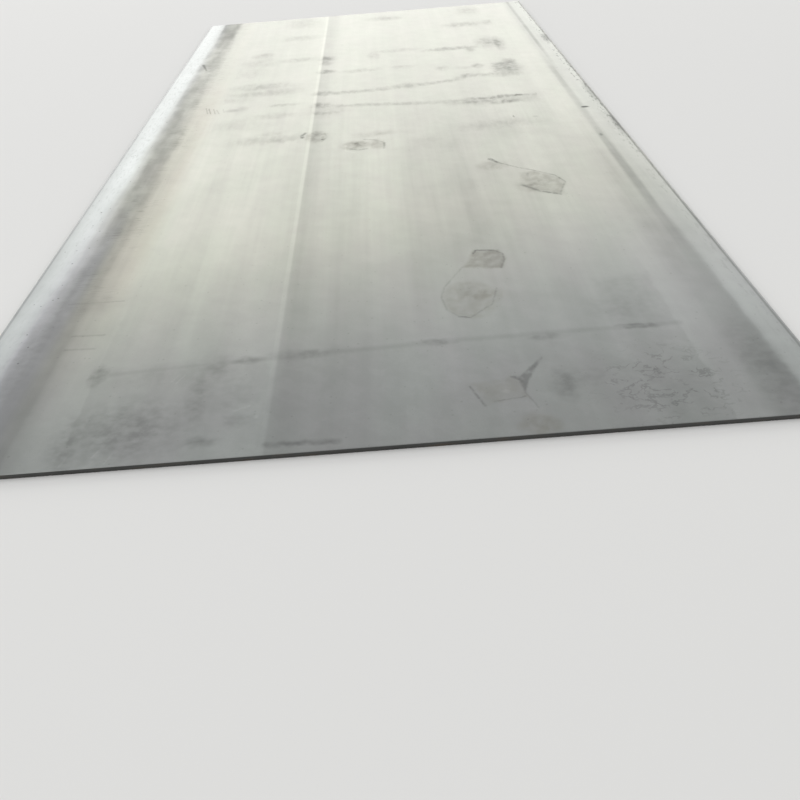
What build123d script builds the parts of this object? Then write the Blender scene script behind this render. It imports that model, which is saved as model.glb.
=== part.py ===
from build123d import *
import os

# A hot-rolled steel plate, lying flat: one solid piece of stock.
# X runs across its width, Y along its length and rolling direction, Z up.
# The origin is at the middle of the underside. All sizes are in millimetres.

# The plate as it is sold
length = 3000.0
width = 1500.0
thickness = 10.0

# Rolled long edges. The rolls thin the plate towards each edge, on both faces,
# and no blade trims the edge, so it bulges a little and its corners are round.
edge_drop_width = 75.0
edge_drop = 0.3
edge_bulge = 1.5
edge_corner_radius = 3.0

# Sheared ends. The blade first rolls the corner over, then cuts a smooth upright
# land, and the rest breaks away at a slant as wide as the gap between the blades.
rollover_length = 2.0
rollover_depth = 0.9
land_height = 3.2
blade_gap = 0.7


def rolled_section():
    """The cross-section that the rolls leave: a flat middle between two thinned, rounded edges."""
    flat_x = width / 2 - edge_drop_width
    corner_x = width / 2 - edge_bulge
    low, high = edge_drop, thickness - edge_drop

    with BuildSketch(Plane.XZ) as section:
        with BuildLine():
            Line((-flat_x, thickness), (flat_x, thickness))
            Line((-flat_x, 0), (flat_x, 0))
            for side in (-1, 1):
                TangentArc((side * flat_x, thickness), (side * corner_x, high), tangent=(side, 0))
                TangentArc((side * flat_x, 0), (side * corner_x, low), tangent=(side, 0))
                crest = (side * width / 2, thickness / 2)
                ThreePointArc((side * corner_x, low), crest, (side * corner_x, high))
        make_face()
        corners = section.vertices().group_by(Axis.X)
        fillet(corners[0] + corners[-1], radius=edge_corner_radius)
    return section.sketch


def sheared_profile():
    """The side profile: the near end was cut from above, and the far end from below."""
    end = length / 2
    rollover_y = end - rollover_length
    broken_y = end - blade_gap
    land_reach = rollover_depth + land_height

    with BuildSketch(Plane.YZ) as profile:
        with BuildLine():
            # The near end: rollover at the top, then the land, then the break
            near_land = (-end, thickness - rollover_depth)
            TangentArc((-rollover_y, thickness), near_land, tangent=(-1, 0))
            Polyline(near_land, (-end, thickness - land_reach), (-broken_y, 0))
            Line((-broken_y, 0), (rollover_y, 0))
            # The far end: the same, the other way up
            far_land = (end, rollover_depth)
            TangentArc((rollover_y, 0), far_land, tangent=(1, 0))
            Polyline(far_land, (end, land_reach), (broken_y, thickness))
            Line((broken_y, thickness), (-rollover_y, thickness))
        make_face()
    return profile.sketch


def steel_plate():
    """A longer and a wider body, cut to each other: the rolled strip and the shear's cuts across it."""
    strip = extrude(rolled_section(), amount=length, both=True)
    cuts = extrude(sheared_profile(), amount=width, both=True)
    plate = strip & cuts
    plate.label = "steel_plate"
    return plate


os.makedirs("parts", exist_ok=True)
export_step(steel_plate(), "parts/steel_plate.step")
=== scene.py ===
import bmesh
import bpy
import math
from mathutils import Matrix, Vector


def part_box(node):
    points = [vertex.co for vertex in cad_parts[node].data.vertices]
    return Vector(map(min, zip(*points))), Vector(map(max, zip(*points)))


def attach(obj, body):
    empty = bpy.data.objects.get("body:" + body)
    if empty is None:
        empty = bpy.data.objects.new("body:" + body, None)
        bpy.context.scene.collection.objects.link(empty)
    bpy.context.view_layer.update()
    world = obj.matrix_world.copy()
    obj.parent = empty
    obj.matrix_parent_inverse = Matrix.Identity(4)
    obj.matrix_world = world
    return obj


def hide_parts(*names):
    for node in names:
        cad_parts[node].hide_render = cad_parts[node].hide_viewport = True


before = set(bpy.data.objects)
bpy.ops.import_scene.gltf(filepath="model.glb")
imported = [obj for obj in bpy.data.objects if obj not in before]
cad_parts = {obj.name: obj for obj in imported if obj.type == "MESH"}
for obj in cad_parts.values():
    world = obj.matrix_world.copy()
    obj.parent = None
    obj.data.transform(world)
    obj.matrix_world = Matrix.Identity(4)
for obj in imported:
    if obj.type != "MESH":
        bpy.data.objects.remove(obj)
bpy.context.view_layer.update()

# The camera looks down the length of the plate from above and before its near end, with a
# plain wide lens, and is turned a few degrees about its own line of sight.
camera_place = (0.0535, -2.2693, 0.7622)
look_left, look_down, lean = math.radians(0.642), math.radians(40.639), math.radians(-4.814)
camera_data = bpy.data.cameras.new("camera")
camera_data.lens = 31.05
camera_data.sensor_width = 36.0
camera_data.clip_start = 0.02
camera = bpy.data.objects.new("camera", camera_data)
bpy.context.scene.collection.objects.link(camera)
camera.matrix_world = (
    Matrix.Translation(camera_place)
    @ Matrix.Rotation(look_left, 4, "Z")
    @ Matrix.Rotation(math.pi / 2 - look_down, 4, "X")
    @ Matrix.Rotation(lean, 4, "Z")
)
bpy.context.scene.camera = camera

# The plate: one piece of hot-rolled steel, 10 mm thick. The rolls thinned and rounded its
# long edges, which no blade has trimmed, and a shear cut both ends, the near one from above
# and the far one from below. Sizes are in metres.
half_width, half_length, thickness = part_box("steel_plate")[1]
middle = thickness / 2

edge_drop_width = 0.075
edge_drop = 0.0003
edge_bulge = 0.0015
edge_corner_radius = 0.003
rollover_length = 0.002
rollover_depth = 0.0009
land_height = 0.0032
blade_gap = 0.0007
flat_half = half_width - edge_drop_width
drop_reach = edge_drop_width - edge_bulge
last_step = 0.91
fine_edge = flat_half + last_step * drop_reach
guard = half_length - 0.003
hair = 1e-5


def pick(kind, test):
    """Selects the edges or faces that pass the test, and nothing else."""
    bpy.ops.mesh.select_all(action="DESELECT")
    bpy.ops.mesh.select_mode(type=kind)
    work = bmesh.from_edit_mesh(bpy.context.edit_object.data)
    for part in {"EDGE": work.edges, "FACE": work.faces}[kind]:
        if test(part):
            part.select_set(True)
    work.select_flush_mode()
    bmesh.update_edit_mesh(bpy.context.edit_object.data)


def saw(point, normal, drop=False):
    """Cuts what is selected by a plane, and takes away what lies outside it if asked."""
    bpy.ops.mesh.bisect(
        plane_co=point, plane_no=normal, use_fill=drop, clear_outer=drop, threshold=1e-7
    )


def along(edge, axis):
    """How far an edge runs along one axis, or nothing if it runs another way."""
    step = edge.verts[1].co - edge.verts[0].co
    return abs(step[axis]) if abs(step[axis]) > 0.99 * step.length else 0.0


def from_middle(part):
    """How far the middle of an edge or face lies from the plate's middle, across and along."""
    centre = sum((v.co for v in part.verts), Vector()) / len(part.verts)
    return abs(centre.x), abs(centre.y)


bpy.ops.object.select_all(action="DESELECT")
bpy.ops.mesh.primitive_cube_add(
    size=1, location=(0, 0, middle), scale=(2 * flat_half, 2 * half_length, thickness)
)
plate = bpy.context.active_object
plate.name = plate.data.name = "rolled_plate"
bpy.ops.object.transform_apply(location=True, rotation=False, scale=True)
bpy.ops.object.mode_set(mode="EDIT")

# The rolled long edges, drawn out from the flat in steps: a slow drop, a small round corner
# and a slightly bulging side that no tool has touched since the rolls. Heights are above
# the middle of the thickness, and the round corner has its own middle.
bulge_radius = ((middle - edge_drop) ** 2 + edge_bulge**2) / (2 * edge_bulge)
corner_x, corner_height = half_width - 0.0033, 0.00171
edge_profile = [
    (flat_half + drop_reach * share, middle - edge_drop * share**2)
    for share in (0.25, 0.5, 0.75, last_step)
]
edge_profile += [
    (
        corner_x + edge_corner_radius * math.sin(math.radians(turn)),
        corner_height + edge_corner_radius * math.cos(math.radians(turn)),
    )
    for turn in (0, 18, 36, 54, 70)
]
edge_profile += [
    (
        half_width - bulge_radius * (1 - math.cos(math.radians(turn))),
        bulge_radius * math.sin(math.radians(turn)),
    )
    for turn in (14, 9, 4)
]
for side in (-1, 1):
    reach, height = flat_half, middle
    for next_reach, next_height in edge_profile:
        pick("FACE", lambda f: all(abs(v.co.x - side * reach) < hair for v in f.verts))
        bpy.ops.mesh.extrude_region_move(
            TRANSFORM_OT_translate={"value": (side * (next_reach - reach), 0, 0)}
        )
        bpy.ops.transform.resize(
            value=(1, 1, next_height / height), center_override=(0, 0, middle)
        )
        reach, height = next_reach, next_height

# The sheared ends, shaved to the blade's cut: one corner rolled over, an upright land, and
# the break that slants back to the other face.
rollover_radius = (rollover_length**2 + rollover_depth**2) / (2 * rollover_depth)
land_foot = rollover_depth + land_height
bpy.ops.mesh.select_all(action="SELECT")
for end in (-1, 1):
    for turn in (6, 18, 30, 42):
        out, up = math.sin(math.radians(turn)), math.cos(math.radians(turn))
        point = (
            0,
            end * (half_length - rollover_length + rollover_radius * out),
            middle - end * (middle - rollover_radius + rollover_radius * up),
        )
        saw(point, (0, end * out, -end * up), drop=True)
        bpy.ops.mesh.select_all(action="SELECT")
    foot = (0, end * half_length, middle - end * (middle - land_foot))
    saw(foot, (0, end * (thickness - land_foot), end * blade_gap), drop=True)
    bpy.ops.mesh.select_all(action="SELECT")
    saw((0, end * guard, 0), (0, 1, 0))
    bpy.ops.mesh.select_all(action="SELECT")

# Fine columns and rows in the cut faces and in the rounded edges, so that the tear of the
# shear and the unevenness of the rolled edge are in the shape itself.
cut_reach, tall = 0.0009, 0.002
pick(
    "EDGE",
    lambda e: from_middle(e)[1] > half_length - cut_reach
    and abs(e.verts[0].co.z - e.verts[1].co.z) > tall
    and from_middle(e)[0] < fine_edge + hair,
)
bpy.ops.mesh.subdivide(number_cuts=3)
for least, cuts in ((1.0, 24), (0.04, 24), (0.008, 7)):
    pick("EDGE", lambda e: along(e, 0) > least and from_middle(e)[1] > guard - hair)
    bpy.ops.mesh.subdivide(number_cuts=cuts)
for least in (1.0, 0.1):
    pick("EDGE", lambda e: along(e, 1) > least and from_middle(e)[0] > fine_edge - hair)
    bpy.ops.mesh.subdivide(number_cuts=24)
bpy.ops.object.mode_set(mode="OBJECT")

# What the tear and the rolls left on the edges, pressed inwards only: the sheared faces are
# scored upright on the land and rough on the break, and the rolled edges are slightly wavy
# and pitted.
noise_frame = bpy.data.objects.new("noise_frame", None)
bpy.context.scene.collection.objects.link(noise_frame)


def press(name, weigh, direction, depth, stretch, cloud):
    """Presses the weighed vertices in along one axis by up to a depth, unevenly."""
    group = plate.vertex_groups.new(name=name)
    for vertex in plate.data.vertices:
        weight = weigh(vertex.co)
        if weight > 0:
            group.add([vertex.index], weight, "REPLACE")
    clouds = bpy.data.textures.new(name, "CLOUDS")
    clouds.noise_scale = cloud
    clouds.noise_depth = 2
    noise_frame.scale = stretch
    bpy.context.view_layer.update()
    bpy.ops.object.select_all(action="DESELECT")
    bpy.context.view_layer.objects.active = plate
    plate.select_set(True)
    dent = plate.modifiers.new(name, "DISPLACE")
    dent.texture = clouds
    dent.texture_coords = "OBJECT"
    dent.texture_coords_object = noise_frame
    dent.vertex_group = name
    dent.direction = direction
    dent.mid_level = 1
    dent.strength = depth
    bpy.ops.object.modifier_apply(modifier=name)
    plate.vertex_groups.remove(plate.vertex_groups[name])


def cut_face(end, top, foot):
    """A weight for one end's cut face between two heights, with the rolled-over face uppermost."""
    side_fade = 0.01

    def weigh(place):
        height = middle - end * (place.z - middle)
        fade = min(1, (fine_edge - abs(place.x)) / side_fade)
        inside = place.y * end > half_length - cut_reach and foot - hair < height < top + hair
        return max(0, fade) if inside else 0

    return weigh


def rolled_side(side):
    """A weight for one rolled edge, full at its crest and fading out before the cut ends."""
    end_fade, crest_start, crest_run = 0.02, 0.001, 0.004

    def weigh(place):
        fade = min(1, (guard - abs(place.y)) / end_fade)
        crest = min(1, (place.x * side - fine_edge - crest_start) / crest_run)
        return max(0, fade) * max(0, crest)

    return weigh


land_top, land_bottom = thickness - rollover_depth, thickness - land_foot
score_depth, tear_depth, bow_depth = 0.00018, 0.0006, 0.0006
wave_depth, pit_depth = 0.0008, 0.0003
for end in (-1, 1):
    press("land", cut_face(end, land_top, land_bottom), "Y", end * score_depth, (1, 1, 8), 0.006)
    press("break", cut_face(end, land_bottom, 0), "Y", end * tear_depth, (1, 1, 1.6), 0.004)
    press("bow", cut_face(end, land_top, 0), "Y", end * bow_depth, (1, 1, 1), 0.16)
for side in (-1, 1):
    press("edge_wave", rolled_side(side), "X", side * wave_depth, (1, 1.5, 1), 0.05)
    press("edge_pits", rolled_side(side), "X", side * pit_depth, (1, 1, 0.5), 0.012)
bpy.data.objects.remove(noise_frame)

bpy.ops.object.shade_smooth_by_angle(angle=math.radians(35))
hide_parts("steel_plate")
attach(plate, "root")

# The mill scale: the grey oxide skin that the rolls press on to the hot steel. It is half
# glossy, drawn out in streaks along the rolling direction, paler in a strip beside each long
# edge and dull in a band inside that. Places in it are in millimetres.
mill_scale = bpy.data.materials.new("mill_scale")
mill_scale.use_nodes = True
scale_tree = mill_scale.node_tree
scale_shader = scale_tree.nodes["Principled BSDF"]


def node(kind, terms, **settings):
    """A shader node. Its sockets, by order or name, take plain values or other sockets."""
    if not isinstance(terms, dict):
        terms = dict(enumerate(terms))
    linked = [t for t in terms.values() if isinstance(t, bpy.types.NodeSocket)]
    made = linked[0].id_data.nodes.new("ShaderNode" + kind)
    for name, value in settings.items():
        setattr(made, name, value)
    for key, term in terms.items():
        if isinstance(term, bpy.types.NodeSocket):
            made.id_data.links.new(term, made.inputs[key])
        else:
            made.inputs[key].default_value = term
    return made


def calc(operation, *terms):
    """One step of arithmetic on numbers."""
    return node("Math", terms, operation=operation).outputs[0]


def calc3(operation, *terms):
    """One step of arithmetic on places."""
    made = node("VectorMath", terms, operation=operation)
    numeric = operation in ("LENGTH", "DISTANCE", "DOT_PRODUCT")
    return made.outputs["Value" if numeric else "Vector"]


def rise(value, start, stop, low=0.0, high=1.0):
    """Goes smoothly from low to high while a value goes from start to stop."""
    terms = {"Value": value, "From Min": start, "From Max": stop, "To Min": low, "To Max": high}
    made = node("MapRange", terms, interpolation_type="SMOOTHSTEP", clamp=False)
    return made.outputs[0]


def noise(place, size, detail=2.0, output="Fac"):
    """Cloudy noise, with clouds of about that size along each axis."""
    finer = calc3("MULTIPLY", place, tuple(1 / s for s in size))
    terms = {"Vector": finer, "Scale": 1.0, "Detail": detail}
    return node("TexNoise", terms).outputs[output]


def sway(value, amount):
    """A factor round 1 from a noise."""
    return calc("MULTIPLY_ADD", value, 2 * amount, 1 - amount)


def shaken(place, size, reach_x, reach_y):
    """The place, moved about unevenly across and along, so that what is drawn on it is ragged."""
    wander = noise(place, size, 2.0, "Color")
    moved = calc3("MULTIPLY_ADD", wander, (2 * reach_x, 2 * reach_y, 0), place)
    return calc3("SUBTRACT", moved, (reach_x, reach_y, 0))


width_mm = round(2000 * half_width)


def drawn(value, points):
    """A value put through a curve that is drawn through points, across the plate in mm."""
    made = node("FloatCurve", {"Value": value})
    made.mapping.clip_max_y = 2.0
    line = made.mapping.curves[0]
    spots = [(0.5 + x / width_mm, y) for x, y in points]
    line.points[0].location, line.points[1].location = spots[0], spots[-1]
    for x, y in spots[1:-1]:
        line.points.new(x, y)
    made.mapping.update()
    return made.outputs[0]


def band(value, centre, half, soft, strength=1.0):
    """A soft-sided band of values."""
    return rise(calc("ABSOLUTE", calc("SUBTRACT", value, centre)), half + soft, half, 0, strength)


def mixed(factor, first, second):
    """One number turned into another by a factor."""
    return node("Mix", {0: factor, 2: first, 3: second}, data_type="FLOAT").outputs[0]


def tinted(factor, first, second, how="MIX"):
    """One colour turned into another by a factor."""
    made = node("Mix", {0: factor, 6: first, 7: second}, data_type="RGBA", blend_type=how)
    return made.outputs[2]


def stroke(place, points, half, soft, strength=1.0):
    """A mark drawn through points, with a soft rim. A pair of halves makes it taper."""
    nearest = None
    start, stop = half if isinstance(half, tuple) else (half, half)
    for (ax, ay), (bx, by) in zip(points, points[1:]):
        run = Vector((bx - ax, by - ay, 0))
        offset = calc3("SUBTRACT", place, (ax, ay, 0))
        share = calc("MAXIMUM", calc3("DOT_PRODUCT", offset, run / run.length_squared), 0)
        share = calc("MINIMUM", share, 1)
        beside = node("VectorMath", {0: run, "Scale": share}, operation="SCALE").outputs[0]
        gap = calc3("DISTANCE", offset, beside)
        if start != stop:
            gap = calc("ADD", calc("MULTIPLY_ADD", share, start - stop, -start), gap)
        nearest = calc("MINIMUM", nearest, gap) if nearest else gap
    inset = 0 if start != stop else start
    return rise(nearest, inset + soft, inset - min(soft, max(start, stop)), 0, strength)


def blot(place, centre, size, soft=0.5, strength=1.0):
    """An oval mark with a soft rim."""
    finer = tuple(1 / s for s in size)
    shift = tuple(-c / s for c, s in zip(centre, size))
    inside = calc3("MULTIPLY_ADD", place, (*finer, 0), (*shift, 0))
    return rise(calc3("LENGTH", inside), 1 + soft, 1 - soft, 0, strength)


def patch(place, corners, soft, strength=1.0):
    """A mark that fills a shape with corners, given clockwise, with a soft rim."""
    beyond = None
    for (ax, ay), (bx, by) in zip(corners, corners[1:] + corners[:1]):
        out = Vector((ay - by, bx - ax, 0)).normalized()
        gap = calc3("DOT_PRODUCT", place, out)
        gap = calc("SUBTRACT", gap, out.dot((ax, ay, 0)))
        beyond = calc("MAXIMUM", beyond, gap) if beyond else gap
    return rise(beyond, soft, -soft, 0, strength)


def strongest(*marks):
    """The strongest of several marks at each place."""
    most = marks[0]
    for mark in marks[1:]:
        most = calc("MAXIMUM", most, mark)
    return most


def marked(place, rows):
    """Draws rows of marks one after another and keeps the strongest at each place."""
    most = None
    for draw, *facts in rows:
        mark = draw(place, *facts)
        most = calc("MAXIMUM", most, mark) if most else mark
    return most


# Places in millimetres: as they are, flattened, and moved about so that marks come out uneven
object_place = scale_tree.nodes.new("ShaderNodeTexCoord").outputs["Object"]
solid = calc3("MULTIPLY", object_place, (1000, 1000, 1000))
flat = calc3("MULTIPLY", object_place, (1000, 1000, 0))
loose = shaken(flat, (26, 40, 1), 9, 9)
ragged = shaken(flat, (7, 9, 1), 2.2, 2.2)
brushed = shaken(shaken(flat, (90, 60, 1), 12, 14), (13, 150, 1), 3, 14)
wavy = shaken(shaken(flat, (60, 260, 1), 7, 0), (70, 46, 1), 5, 0)
turned = node("VectorRotate", [loose, (0, 0, 0), (0, 0, 1), 0.61]).outputs[0]
tilted = node("VectorRotate", [loose, (0, 0, 0), (0, 0, 1), -0.09]).outputs[0]
parts = node("SeparateXYZ", [flat]).outputs
wavy_parts = node("SeparateXYZ", [wavy]).outputs
across, lengthwise = parts[0], parts[1]
share_across = calc("MULTIPLY_ADD", wavy_parts[0], 1 / width_mm, 0.5)

# How the scale's tone changes across the plate, at its near end, its middle and its far end,
# and two wide places that are a little paler
near_tone = drawn(share_across, (
    (-750, 1.0), (-715, 1.45), (-692, 1.3), (-683, 1.02), (-660, 0.86), (-635, 0.73),
    (-612, 0.70), (-590, 0.83), (-555, 0.98), (-520, 1.08), (-450, 1.15), (-300, 1.08), (-200, 1.12),
    (-170, 1.0), (-100, 0.93), (0, 0.95), (100, 0.98), (300, 0.96), (560, 0.97), (575, 0.99),
    (620, 0.91), (660, 0.81), (684, 0.79), (694, 0.94), (712, 1.12), (750, 1.0),
))
middle_tone = drawn(share_across, (
    (-750, 1.08), (-725, 1.24), (-700, 1.38), (-688, 1.33), (-672, 1.0), (-655, 0.83),
    (-622, 0.72), (-606, 0.73), (-590, 0.79), (-565, 0.89), (-535, 1.02), (-500, 1.13), (-300, 1.12),
    (-190, 1.03), (-170, 1.0), (0, 1.04), (100, 0.93), (200, 0.87), (500, 0.95), (600, 0.89),
    (645, 0.80), (668, 0.79), (684, 0.79), (694, 0.86), (712, 0.87), (732, 0.95), (750, 0.92),
))
far_tone = drawn(share_across, (
    (-750, 1.05), (-725, 1.22), (-700, 1.24), (-684, 1.08), (-672, 0.84), (-655, 0.80),
    (-622, 0.81), (-606, 0.83), (-590, 0.87), (-565, 0.93), (-530, 0.98), (-480, 0.98), (-280, 1.02),
    (-190, 1.1), (-170, 1.08), (0, 1.03), (300, 1.0), (560, 1.0), (640, 1.0), (660, 0.98),
    (679, 0.88), (692, 0.94), (712, 0.92), (728, 1.03), (750, 0.88),
))
tone = mixed(rise(wavy_parts[1], -1250, -750), near_tone, middle_tone)
tone = mixed(rise(wavy_parts[1], -350, 350), tone, far_tone)
# Painted sheen: the tone is painted a little darker at the near end and a little brighter towards the
# middle, as part of the sheen that grows towards the far end
tone = calc("MULTIPLY", tone, rise(lengthwise, -1500, -1080, 0.92, 0.98))
tone = calc("MULTIPLY", tone, rise(lengthwise, -1000, -550, 1.0, 1.04))
paler = marked(flat, (
    (blot, (648, -120), (50, 270), 0.7, 0.13),
    (blot, (-400, -810), (170, 200), 0.9, 0.08),
))
tone = calc("MULTIPLY", tone, calc("ADD", 1, paler))

# Streaks of three widths, and three kinds of cloud
fineness = rise(lengthwise, 200, -900, 0.3, 1.0)
fine_streak = mixed(fineness, 0.5, noise(solid, (3.4, 260, 60), 2.0))
streakiness = rise(calc("ABSOLUTE", calc("ADD", lengthwise, 450)), 900, 250, 0.25, 0.65)
mid_streak = mixed(streakiness, 0.5, noise(solid, (15, 420, 60), 2.0))
broad_streak = noise(solid, (52, 1500, 60), 2.0)
slow_cloud = noise(turned, (150, 280, 1), 2.0)
mottle = noise(turned, (58, 40, 1), 5.0)
wiped = noise(tilted, (170, 48, 1), 2.0)
for value, amount in (
    (fine_streak, 0.018), (mid_streak, 0.10), (broad_streak, 0.11), (slow_cloud, 0.09),
    (mottle, 0.08), (wiped, 0.015),
):
    tone = calc("MULTIPLY", tone, sway(value, amount))

# The dull band by the left edge is blotchy, as the scale lifted there, short scrapes run from
# it towards the middle, and flecks lie along both rims
blotches = rise(noise(loose, (44, 120, 1), 4.0), 0.30, 0.72, 0, 0.13)
blotches = calc("MULTIPLY", blotches, band(across, -645, 34, 36))
blotches = calc("MULTIPLY", blotches, rise(lengthwise, -1300, -700, 0.6, 1.0))
combing = rise(noise(ragged, (34, 4.5, 1), 2.0), 0.50, 0.70, 0, 0.17)
combing = calc("MULTIPLY", combing, band(across, -600, 30, 50))
combing = calc("MULTIPLY", combing, rise(noise(solid, (90, 60, 60), 1.0), 0.36, 0.58))
combing = calc("MULTIPLY", combing, rise(lengthwise, -1150, -800))
flecks = rise(noise(ragged, (7, 26, 1), 4.0), 0.50, 0.70, 0, 0.42)
rims_only = calc("MAXIMUM", band(across, -712, 18, 16, 0.5), band(across, 734, 8, 12))
flecks = calc("MULTIPLY", calc("MULTIPLY", flecks, rims_only), rise(lengthwise, -900, 0, 0.3, 1))
far_patch = calc("MULTIPLY", band(across, -650, 30, 34), rise(lengthwise, 950, 1350, 0, 0.13))
lifted = calc("ADD", calc("ADD", blotches, combing), calc("ADD", flecks, far_patch))
tone = calc("MULTIPLY", tone, calc("SUBTRACT", 1, lifted))

# The roll mark, which a flaw in one roll drew along the plate: a bright line, and a dark flank on its
# right, which is painted shade for a shallow dip beside the mark that the shape leaves out
mark_line = calc("MULTIPLY", band(across, -181, 2, 5, 0.12), rise(lengthwise, -1450, -500, 0.3, 1))
# The dark flank is painted shade, darker towards the far end
mark_dip_shade = calc("MULTIPLY", rise(across, -178, -171), rise(across, -174, -95, 1, 0))
mark_dip_shade = calc("MULTIPLY", mark_dip_shade, rise(lengthwise, -1500, 500, 0.10, 0.20))
tone = calc("MULTIPLY", tone, calc("ADD", 1, calc("SUBTRACT", mark_line, mark_dip_shade)))

# The thin dark line by the right edge, and the worn rims
right_line = calc("MULTIPLY", band(across, 673, 5, 12, 0.13), rise(lengthwise, -1100, -500))
right_line = calc("MULTIPLY", right_line, rise(lengthwise, 700, 200))
second_line = calc("MULTIPLY", band(across, 689, 3, 8, 0.17), rise(lengthwise, 100, 800))
right_line = calc("MAXIMUM", right_line, second_line)
rims = calc("MAXIMUM", band(across, -743.5, 1, 2.5, 0.3), band(across, 742.5, 1, 3, 0.32))
edges = strongest(right_line, rims)
tone = calc("MULTIPLY", tone, calc("SUBTRACT", 1, edges))

# Where the plate was handled: a thin grey veil over the near end, and smears drawn across.
# Each row of marks says how one is drawn, where, how large, how soft its rim is and how strong.
handled = band(node("SeparateXYZ", [loose]).outputs[0], 29, 532, 7)
veil = calc("MULTIPLY", rise(mottle, 0.32, 0.62, 0.03, 0.13), rise(lengthwise, -1215, -1255))
veil = calc("MAXIMUM", veil, rise(lengthwise, -800, -1150, 0.0, 0.06))
smears = marked(brushed, (
    (stroke, ((-165, 293), (-20, 288), (140, 308), (300, 327), (372, 368), (470, 366)), 8, 22, 0.18),
    (blot, (-150, 298), (40, 24), 0.6, 0.18),
    (blot, (148, 312), (34, 26), 0.7, 0.20),
    (blot, (366, 372), (22, 20), 0.7, 0.27),
    (stroke, ((-175, 172), (-110, 148), (60, 130), (290, 96), (400, 112), (560, 112)), 7, 20, 0.18),
    (blot, (-158, 168), (32, 30), 0.6, 0.23),
    (blot, (-130, 110), (60, 50), 0.8, 0.10),
    (blot, (450, 112), (110, 16), 0.7, 0.32),
    (blot, (500, 116), (46, 10), 0.7, 0.41),
    (blot, (370, 78), (80, 18), 0.8, 0.23),
    (blot, (452, 60), (54, 18), 0.7, 0.30),
    (blot, (430, 84), (130, 40), 0.6, 0.15),
    (blot, (-140, 88), (50, 18), 0.7, 0.18),
    (blot, (538, 518), (24, 30), 0.8, 0.16),
    (blot, (505, 355), (56, 26), 0.7, 0.16),
    (blot, (415, 485), (20, 26), 0.7, 0.24),
    (blot, (372, 478), (26, 16), 0.7, 0.12),
    (blot, (282, 490), (22, 26), 0.8, 0.15),
    (blot, (-385, 434), (95, 36), 0.8, 0.19),
    (blot, (-370, 356), (108, 34), 0.9, 0.16),
    (blot, (-290, 205), (44, 14), 0.8, 0.18),
    (blot, (-310, 100), (64, 24), 0.9, 0.12),
    (blot, (-480, 300), (70, 26), 0.9, 0.09),
    (blot, (-440, 30), (110, 44), 0.9, 0.08),
    (blot, (-470, 620), (90, 60), 0.9, 0.08),
    (blot, (-155, 560), (34, 24), 0.6, 0.24),
    (blot, (-20, 545), (60, 20), 0.8, 0.15),
    (blot, (135, 547), (42, 20), 0.8, 0.15),
    (blot, (-155, 748), (36, 30), 0.7, 0.20),
    (blot, (-158, 690), (22, 34), 0.7, 0.16),
    (blot, (-270, 760), (70, 26), 0.8, 0.14),
    (blot, (30, 735), (20, 56), 0.8, 0.14),
    (blot, (120, 785), (80, 22), 0.8, 0.12),
    (blot, (345, 748), (96, 24), 0.6, 0.23),
    (blot, (412, 722), (20, 34), 0.6, 0.22),
    (blot, (486, 800), (34, 70), 0.8, 0.18),
    (blot, (538, 775), (20, 88), 0.6, 0.24),
    (blot, (-428, 865), (38, 36), 0.8, 0.20),
    (blot, (-425, 755), (60, 60), 0.9, 0.11),
    (blot, (-290, 1115), (80, 36), 0.9, 0.12),
    (blot, (430, 1125), (80, 36), 0.8, 0.19),
    (blot, (540, 1130), (22, 44), 0.7, 0.16),
    (blot, (90, 1362), (70, 34), 0.8, 0.18),
    (blot, (480, 1385), (44, 70), 0.9, 0.14),
    (blot, (-290, 1385), (70, 80), 0.8, 0.11),
    (blot, (-310, -122), (120, 34), 0.8, 0.13),
    (blot, (-278, -132), (46, 18), 0.8, 0.20),
    (blot, (-300, -70), (40, 16), 0.8, 0.10),
    (blot, (25, -140), (60, 20), 0.8, 0.11),
    (blot, (405, -142), (110, 34), 0.9, 0.14),
    (blot, (180, -235), (40, 40), 0.9, 0.07),
    (blot, (430, -215), (70, 40), 0.9, 0.06),
))
worn_through = rise(noise(brushed, (20, 46, 1), 4.0), 0.28, 0.68, 0.35, 1.25)
smears = calc("MULTIPLY", calc("MULTIPLY", smears, worn_through), handled)

# Grime along a line near the end and by its corners, dark patches and the crinkled film
near_marks = marked(loose, (
    (blot, (-230, -1249), (32, 9), 0.8, 0.26),
    (blot, (-130, -1243), (60, 12), 0.7, 0.19),
    (blot, (118, -1237), (42, 9), 0.6, 0.25),
    (blot, (322, -1243), (34, 11), 0.6, 0.18),
    (blot, (486, -1235), (42, 8), 0.6, 0.28),
    (blot, (-503, -1262), (16, 26), 0.6, 0.28),
    (blot, (-285, -1265), (26, 30), 0.8, 0.20),
    (blot, (-306, -1345), (20, 90), 0.8, 0.20),
    (blot, (-240, -1345), (34, 60), 0.9, 0.12),
    (blot, (-230, -1408), (30, 18), 0.8, 0.18),
    (blot, (-282, -1458), (30, 10), 0.8, 0.28),
    (blot, (-420, -1420), (90, 66), 0.8, 0.27),
    (blot, (-395, -1400), (44, 30), 0.9, 0.26),
    (blot, (-500, -1440), (28, 60), 0.9, 0.26),
    (blot, (-330, -1280), (120, 30), 0.9, 0.10),
    (stroke, ((-172, -1478), (-58, -1480)), 3, 8, 0.28),
    (blot, (480, -1175), (50, 44), 0.9, 0.12),
    (patch, ((450, -1066), (560, -1058), (561, -1236), (438, -1238)), 14, 0.055),
    (blot, (322, -1385), (20, 34), 0.8, 0.25),
    (blot, (366, -1370), (44, 22), 0.9, 0.12),
    (blot, (486, -1405), (105, 84), 0.7, 0.07),
    (blot, (664, -1400), (34, 130), 0.9, 0.18),
    (blot, (-604, -1010), (60, 26), 0.9, 0.10),
    (blot, (-668, -1120), (30, 230), 0.8, 0.12),
    (patch, ((472, 498), (556, 516), (561, 384), (464, 388)), 14, 0.24),
    (blot, (520, 426), (42, 50), 0.9, 0.30),
    (blot, (528, 800), (34, 56), 0.8, 0.12),
))
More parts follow.
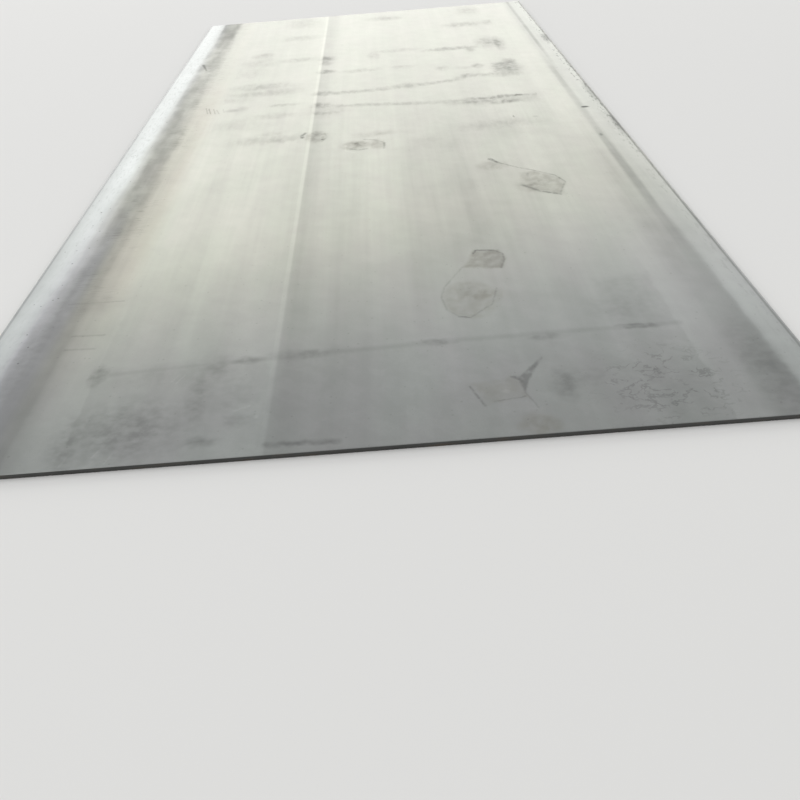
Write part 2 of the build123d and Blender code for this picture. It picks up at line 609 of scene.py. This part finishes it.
patchy = rise(noise(solid, (19, 15, 60), 5.0), 0.3, 0.7, 0.55, 1.3)
near_marks = calc("MULTIPLY", near_marks, patchy)
crinkles = noise(loose, (30, 22, 1), 4.0)
crinkles = rise(calc("ABSOLUTE", calc("SUBTRACT", crinkles, 0.5)), 0.046, 0.0, 0, 0.30)
crinkles = calc("MULTIPLY", crinkles, blot(loose, (492, -1402), (112, 96), 0.5, 1.0))
crinkles = calc("MULTIPLY", crinkles, rise(noise(solid, (34, 24, 60), 1.0), 0.40, 0.58))
near_marks = calc("MAXIMUM", near_marks, crinkles)

# Small hard marks: the fine line itself, scratches by the left edge, a hatch, single dots
ticks = marked(ragged, (
    (stroke, ((-500, -1262), (-240, -1249), (-60, -1243), (110, -1237), (566, -1234)), 3, 10, 0.12),
    (stroke, ((-640, -1002), (-524, -1005)), 1, 4, 0.17),
    (stroke, ((-594, -1125), (-530, -1128)), 1, 4, 0.15),
    (stroke, ((-594, -1170), (-536, -1173)), 1, 4, 0.15),
    (stroke, ((-668, 800), (-640, 712)), (4, 1), 5, 0.30),
    (stroke, ((-560, 236), (-545, 176)), 1.2, 3, 0.22),
    (stroke, ((-549, 228), (-534, 172)), 1.2, 3, 0.28),
    (stroke, ((-532, 222), (-518, 168)), 1.2, 3, 0.24),
    (stroke, ((-519, 208), (-504, 164)), 1.2, 3, 0.18),
    (stroke, ((-498, 214), (-488, 176)), 1.2, 3, 0.12),
    (blot, (-458, 188), (22, 14), 0.8, 0.20),
    (blot, (-428, 196), (16, 22), 0.8, 0.12),
    (blot, (685, -50), (11, 7), 0.4, 0.62),
    (blot, (455, -85), (3, 10), 0.5, 0.32),
    (blot, (520, -100), (8, 7), 0.8, 0.14),
    (blot, (738, -215), (8, 80), 0.8, 0.22),
    (blot, (736, 90), (9, 90), 0.8, 0.20),
    (blot, (732, 795), (11, 60), 0.7, 0.30),
    (blot, (672, -290), (5, 9), 0.6, 0.25),
))

# Boot prints: thin films of grey and brown dirt with dark rims
print_rims = marked(ragged, (
    (stroke, ((224, -920), (232, -907), (270, -912)), 1.6, 3, 0.34),
    (stroke, ((270, -912), (288, -930), (288, -955), (276, -990)), 0.8, 3, 0.18),
    (stroke, ((195, -975), (150, -1050), (140, -1088), (148, -1135), (170, -1160)), 0.6, 3.4, 0.15),
    (stroke, ((168, -1160), (190, -1166)), 1.6, 3, 0.28),
    (stroke, ((190, -1166), (238, -1125), (254, -1070)), 0.6, 3.4, 0.15),
    (stroke, ((336, -406), (352, -432)), (6, 3), 4, 0.42),
    (stroke, ((352, -432), (398, -475), (440, -505), (485, -545), (502, -588)), 0.9, 3, 0.26),
    (stroke, ((502, -588), (473, -658)), 0.9, 4, 0.18),
    (stroke, ((474, -659), (430, -634)), 2.0, 4, 0.32),
    (stroke, ((430, -634), (392, -590)), 1.5, 7, 0.20),
    (stroke, ((-195, -86), (-204, -106), (-202, -126)), 5, 5, 0.42),
    (stroke, ((-134, -100), (-126, -135), (-140, -172)), 0.8, 4, 0.16),
    (stroke, ((-50, -250), (-28, -261), (-6, -257)), 3, 6, 0.24),
    (stroke, ((-12, -180), (25, -193), (48, -218)), 1.5, 4, 0.22),
    (stroke, ((48, -220), (47, -262)), 2, 5, 0.30),
    (stroke, ((298, -1307), (257, -1362)), (1.2, 9), 3, 0.30),
    (stroke, ((236, -1354), (257, -1362)), (1.2, 9), 3, 0.30),
    (stroke, ((253, -1398), (257, -1362)), (0.6, 9), 3, 0.30),
    (stroke, ((253, -1398), (268, -1438)), 0.5, 2.6, 0.16),
    (stroke, ((200, -1415), (252, -1408)), 0.6, 2.6, 0.20),
    (stroke, ((163, -1372), (183, -1424)), 1.4, 3, 0.26),
    (blot, (-137, -153), (6, 6), 0.5, 0.3),
    (blot, (417, -525), (4, 9), 0.6, 0.2),
))
print_films = marked(loose, (
    (patch, ((228, -908), (282, -912), (291, -950), (276, -990), (197, -980)), 5, 0.16),
    (blot, (198, -1102), (56, 66), 0.15, 0.09),
    (blot, (214, -1088), (42, 20), 0.9, 0.19),
    (patch, ((400, -512), (438, -506), (497, -562), (502, -588), (474, -659), (404, -610)), 9, 0.15),
    (blot, (420, -592), (30, 34), 0.9, 0.22),
    (blot, (440, -560), (30, 26), 0.9, 0.20),
    (blot, (335, -450), (40, 30), 0.4, 0.11),
    (blot, (-158, -126), (32, 47), 0.3, 0.16),
    (blot, (-160, -148), (22, 24), 0.9, 0.10),
    (blot, (-34, -222), (38, 28), 0.6, 0.26),
    (blot, (-30, -212), (22, 18), 0.9, 0.34),
    (blot, (26, -226), (22, 38), 0.4, 0.17),
    (blot, (40, -145), (18, 10), 0.8, 0.12),
    (patch, ((163, -1368), (236, -1354), (254, -1366), (254, -1408), (190, -1420)), 6, 0.08),
    (blot, (262, -1478), (30, 28), 0.4, 0.13),
))
film_patches = rise(noise(turned, (19, 23, 1), 5.0), 0.30, 0.68, 0.45, 1.4)
print_films = calc("MULTIPLY", print_films, film_patches)
print_rims = calc("MULTIPLY", print_rims, rise(noise(solid, (11, 13, 60), 3.0), 0.32, 0.58, 0.45, 1.15))

# Pale specks and wipes, where the dirt is rubbed off
wipes = marked(ragged, (
    (stroke, ((-236, -1388), (-212, -1379)), 1.5, 3, 0.10),
    (blot, (-197, -1408), (4, 4), 0.7, 0.12),
    (blot, (-441, -1450), (4, 4), 0.7, 0.14),
    (blot, (-389, -1443), (5, 5), 0.7, 0.12),
    (blot, (222, -1391), (6, 5), 0.7, 0.12),
    (blot, (470, -612), (14, 30), 0.7, 0.07),
    (stroke, ((-68, -215), (-66, -262), (-40, -280)), 1.5, 4, 0.10),
    (stroke, ((-352, -1302), (-340, -1278)), 0.6, 2.4, 0.09),
    (stroke, ((-362, -1296), (-352, -1280)), 0.6, 2.4, 0.07),
    (stroke, ((-452, -1476), (-440, -1452)), 0.8, 2.6, 0.09),
    (stroke, ((-428, -1492), (-420, -1470)), 0.8, 2.6, 0.08),
    (stroke, ((-500, -1492), (-490, -1462)), 0.8, 3.0, 0.08),
))

# All of these lie on the upper face only, which is 10 mm up
upper = rise(node("SeparateXYZ", [solid]).outputs[2], 7.0, 9.0)
smears = calc("MULTIPLY", smears, upper)
dirt = calc("MULTIPLY", strongest(near_marks, ticks, print_rims), upper)
mud = calc("MULTIPLY", print_films, upper)
veil = calc("MULTIPLY", calc("MULTIPLY", veil, handled), upper)
wipes = calc("MULTIPLY", wipes, upper)

# Specks: small dark ones where the scale has pitted, most of them in the left strip
speck_cells = node("TexVoronoi", {"Vector": solid, "Scale": 0.11, "Randomness": 1.0})
speck_size = node("SeparateXYZ", [speck_cells.outputs["Color"]]).outputs[0]
speck_reach = calc("MULTIPLY", calc("POWER", speck_size, 6.0), 0.30)
specks = calc("SUBTRACT", speck_reach, speck_cells.outputs["Distance"])
specks = rise(specks, 0.0, 0.10, 0, 0.5)
left_strip = band(across, -705, 24, 22, 0.75)
specks = calc("MULTIPLY", specks, calc("ADD", left_strip, 0.25))

# Grain, turned askew so that no row of it lies along the plate
askew = node("VectorRotate", [solid, (0, 0, 0), (0.36, 0.48, 0.8), 0.61]).outputs[0]
grain = noise(askew, (1.3, 1.7, 1.3), 3.0)
pebbles = noise(askew, (6, 8, 6), 4.0)
tone = calc("MULTIPLY", tone, sway(grain, 0.08))
tone = calc("MULTIPLY", tone, sway(pebbles, 0.04))

# The rolled edges carry a thicker, duller scale, pitted and rusty in patches
on_edge = rise(calc("ABSOLUTE", across), 745.8, 748.6)
edge_pits = rise(noise(solid, (2.2, 4, 2.2), 5.0), 0.46, 0.68)
edge_rust = calc("MULTIPLY", on_edge, rise(noise(solid, (14, 34, 8), 4.0), 0.48, 0.70, 0, 0.55))
tone = calc("MULTIPLY", tone, calc("MULTIPLY_ADD", on_edge, -0.42, 1))
tone = calc("MULTIPLY", tone, calc("MULTIPLY_ADD", calc("MULTIPLY", edge_pits, on_edge), -0.35, 1))
for darker in (specks, smears, dirt, mud, veil):
    tone = calc("MULTIPLY", tone, calc("SUBTRACT", 1, darker))
tone = calc("MULTIPLY", tone, calc("ADD", 1, wipes))

# Colour: neutral grey, warmer inside the dull band and colder in the pale strips
near_grey = (0.281, 0.292, 0.287, 1)
far_grey = (0.2905, 0.2960, 0.2615, 1)
warm_grey = (0.298, 0.286, 0.238, 1)
cold_grey = (0.277, 0.292, 0.292, 1)
blue_grey = (0.280, 0.286, 0.299, 1)
mud_brown = (0.292, 0.286, 0.236, 1)
rust_brown = (0.150, 0.098, 0.058, 1)
green_cast, red_cast = (0.991, 1.004, 0.992, 1), (1.008, 0.997, 1.005, 1)
warm = calc("MULTIPLY", band(wavy_parts[0], -566, 16, 56), rise(lengthwise, -1350, -700))
warm = calc("MULTIPLY", warm, rise(lengthwise, 800, 100, 0.2, 0.62))
cold = calc("MAXIMUM", rise(wavy_parts[0], -640, -695), rise(wavy_parts[0], 640, 720, 0, 0.3))
warmer_far = rise(calc("MULTIPLY_ADD", across, -0.3, lengthwise), -1400, -700)
scale_colour = tinted(warmer_far, near_grey, far_grey)
scale_colour = tinted(warm, scale_colour, warm_grey)
hue = rise(noise(loose, (110, 260, 1), 3.0), 0.36, 0.64)
hue_cast = tinted(hue, green_cast, red_cast)
scale_colour = tinted(1.0, scale_colour, hue_cast, "MULTIPLY")
scale_colour = tinted(cold, scale_colour, cold_grey)
bluish = calc("MULTIPLY", band(across, -662, 22, 34, 0.8), rise(lengthwise, -450, -850))
scale_colour = tinted(bluish, scale_colour, blue_grey)
brown = strongest(calc("MULTIPLY", mud, 1.9), calc("MULTIPLY", smears, 0.6))
scale_colour = tinted(brown, scale_colour, mud_brown)
scale_colour = tinted(edge_rust, scale_colour, rust_brown)
toned = node("CombineXYZ", [tone, tone, tone]).outputs[0]
scale_colour = tinted(1.0, scale_colour, toned, "MULTIPLY")

# The shine: duller under dirt and on the edges, and a relief of streaks, grain and pits
clean_roughness, added_roughness = 0.36, 0.22
clean_metallic, lost_metallic = 0.86, 0.25
dullness = strongest(smears, dirt, mud, on_edge, rise(tone, 0.9, 0.45))
roughness = calc("MULTIPLY_ADD", dullness, added_roughness, clean_roughness)
for value, amount in ((fine_streak, 0.10), (grain, 0.10), (pebbles, 0.12)):
    roughness = calc("MULTIPLY_ADD", value, amount, calc("SUBTRACT", roughness, amount / 2))
metallic = calc("MULTIPLY_ADD", dullness, -lost_metallic, clean_metallic)
height = calc("MULTIPLY_ADD", fine_streak, 0.6, calc("MULTIPLY", grain, 0.6))
height = calc("MULTIPLY_ADD", calc("MULTIPLY", edge_pits, on_edge), -2.0, height)
relief = node("Bump", {"Strength": 0.35, "Distance": 0.0002, "Height": height}).outputs[0]
scale_tree.links.new(scale_colour, scale_shader.inputs["Base Color"])
scale_tree.links.new(roughness, scale_shader.inputs["Roughness"])
scale_tree.links.new(metallic, scale_shader.inputs["Metallic"])
scale_tree.links.new(relief, scale_shader.inputs["Normal"])
plate.data.materials.append(mill_scale)

# The sheared ends: dark steel as the shear left it, scored and grainy, with a thin brown bloom of rust
# in places. Its dark grey is partly a weathered film and partly painted shade.
sheared_steel = bpy.data.materials.new("sheared_steel")
sheared_steel.use_nodes = True
cut_tree = sheared_steel.node_tree
cut_shader = cut_tree.nodes["Principled BSDF"]
cut_place = cut_tree.nodes.new("ShaderNodeTexCoord").outputs["Object"]
cut_solid = calc3("MULTIPLY", cut_place, (1000, 1000, 1000))
scores = noise(cut_solid, (1.1, 30, 14), 2.0)
crumbs = noise(cut_solid, (1.6, 1.6, 1.2), 3.0)
stains = noise(cut_solid, (60, 60, 9), 3.0)
cut_height = node("SeparateXYZ", [cut_solid]).outputs[2]
cut_depth = node("SeparateXYZ", [cut_solid]).outputs[1]
# Heights are taken from the rolled-over face, the upper one at the near end and the lower one
# at the far end. Grit is drawn down to a line in the break, and upright scores beyond it.
middle_mm, scored_from = 1000 * middle, 5.9
to_rollover = calc("MULTIPLY", calc("SIGN", cut_depth), calc("SUBTRACT", middle_mm, cut_height))
from_rollover = calc("SUBTRACT", middle_mm, to_rollover)
scored = rise(from_rollover, scored_from - 0.5, scored_from + 0.5)
texture = mixed(scored, crumbs, scores)
cut_tone = calc("MULTIPLY_ADD", texture, 0.9, 0.55)
cut_tone = calc("MULTIPLY", cut_tone, sway(stains, 0.35))
cut_toned = node("CombineXYZ", [cut_tone, cut_tone, cut_tone]).outputs[0]
rusty = rise(stains, 0.5, 0.75, 0, 0.5)
# The steel's grey is painted dark: partly a weathered film, partly painted shade
dark_steel_and_shade, rust_bloom = (0.060, 0.061, 0.058, 1), (0.085, 0.060, 0.038, 1)
cut_colour = tinted(rusty, dark_steel_and_shade, rust_bloom)
cut_colour = tinted(1.0, cut_colour, cut_toned, "MULTIPLY")
cut_relief = node("Bump", {"Strength": 0.5, "Distance": 0.0003, "Height": texture}).outputs[0]
cut_tree.links.new(cut_colour, cut_shader.inputs["Base Color"])
cut_tree.links.new(calc("MULTIPLY_ADD", crumbs, 0.3, 0.38), cut_shader.inputs["Roughness"])
cut_tree.links.new(cut_relief, cut_shader.inputs["Normal"])
cut_shader.inputs["Metallic"].default_value = 0.45
plate.data.materials.append(sheared_steel)
upright = 0.6
for face in plate.data.polygons:
    if abs(face.normal.y) > upright and abs(face.center.y) > guard:
        face.material_index = 1

# The floor is plain, level and painted a matt pale grey, so that the plate's outline
# and shadow show. The plate lies flat on it, and it reaches far past the camera.
floor_width = 300
bpy.ops.object.select_all(action="DESELECT")
bpy.ops.mesh.primitive_plane_add(size=floor_width, location=(0, 0, 0))
floor = bpy.context.active_object
floor.name = "floor"
floor_paint = bpy.data.materials.new("floor_paint")
floor_paint.use_nodes = True
floor_shader = floor_paint.node_tree.nodes["Principled BSDF"]
floor_shader.inputs["Base Color"].default_value = (0.72, 0.72, 0.71, 1)
floor_shader.inputs["Roughness"].default_value = 0.9
floor.data.materials.append(floor_paint)

# The light is a plain bright studio: an even white surround, one large soft panel beyond the
# far end that gives the scale its sheen, and a smaller, weaker one from the left.
world = bpy.data.worlds.new("studio")
bpy.context.scene.world = world
world.use_nodes = True
background = world.node_tree.nodes["Background"]
background.inputs["Color"].default_value = (1, 1, 1, 1)
surround, added_in_shine, less_in_view = 0.85, 0.05, 0.12
ray = world.node_tree.nodes.new("ShaderNodeLightPath")
level = calc("MULTIPLY_ADD", ray.outputs["Is Glossy Ray"], added_in_shine, surround)
level = calc("MULTIPLY_ADD", ray.outputs["Is Camera Ray"], -less_in_view, level)
world.node_tree.links.new(level, background.inputs["Strength"])


def panel(name, place, aim, width, height, radiance, colour):
    """A large soft lamp that faces a point. Its power is worked out from how bright it looks."""
    lamp_data = bpy.data.lights.new(name, "AREA")
    lamp_data.shape = "RECTANGLE"
    lamp_data.size, lamp_data.size_y = width, height
    lamp_data.energy = radiance * math.pi * width * height
    lamp_data.color = colour
    lamp = bpy.data.objects.new(name, lamp_data)
    bpy.context.scene.collection.objects.link(lamp)
    lamp.location = place
    lamp.rotation_mode = "QUATERNION"
    lamp.rotation_quaternion = (Vector(aim) - Vector(place)).to_track_quat("-Z", "Y")
    lamp.visible_camera = False


panel(
    "far_panel", place=(0, 15.0, 4.6), aim=(0, 0, 0.5), width=32.0, height=8.0,
    radiance=1.72, colour=(1, 0.99, 0.95),
)
panel(
    "left_key", place=(-5.0, -2.0, 5.0), aim=(0, 0, 0), width=4.0, height=4.0,
    radiance=1.0, colour=(1, 1, 1),
)

bpy.context.scene.view_settings.view_transform = "Standard"
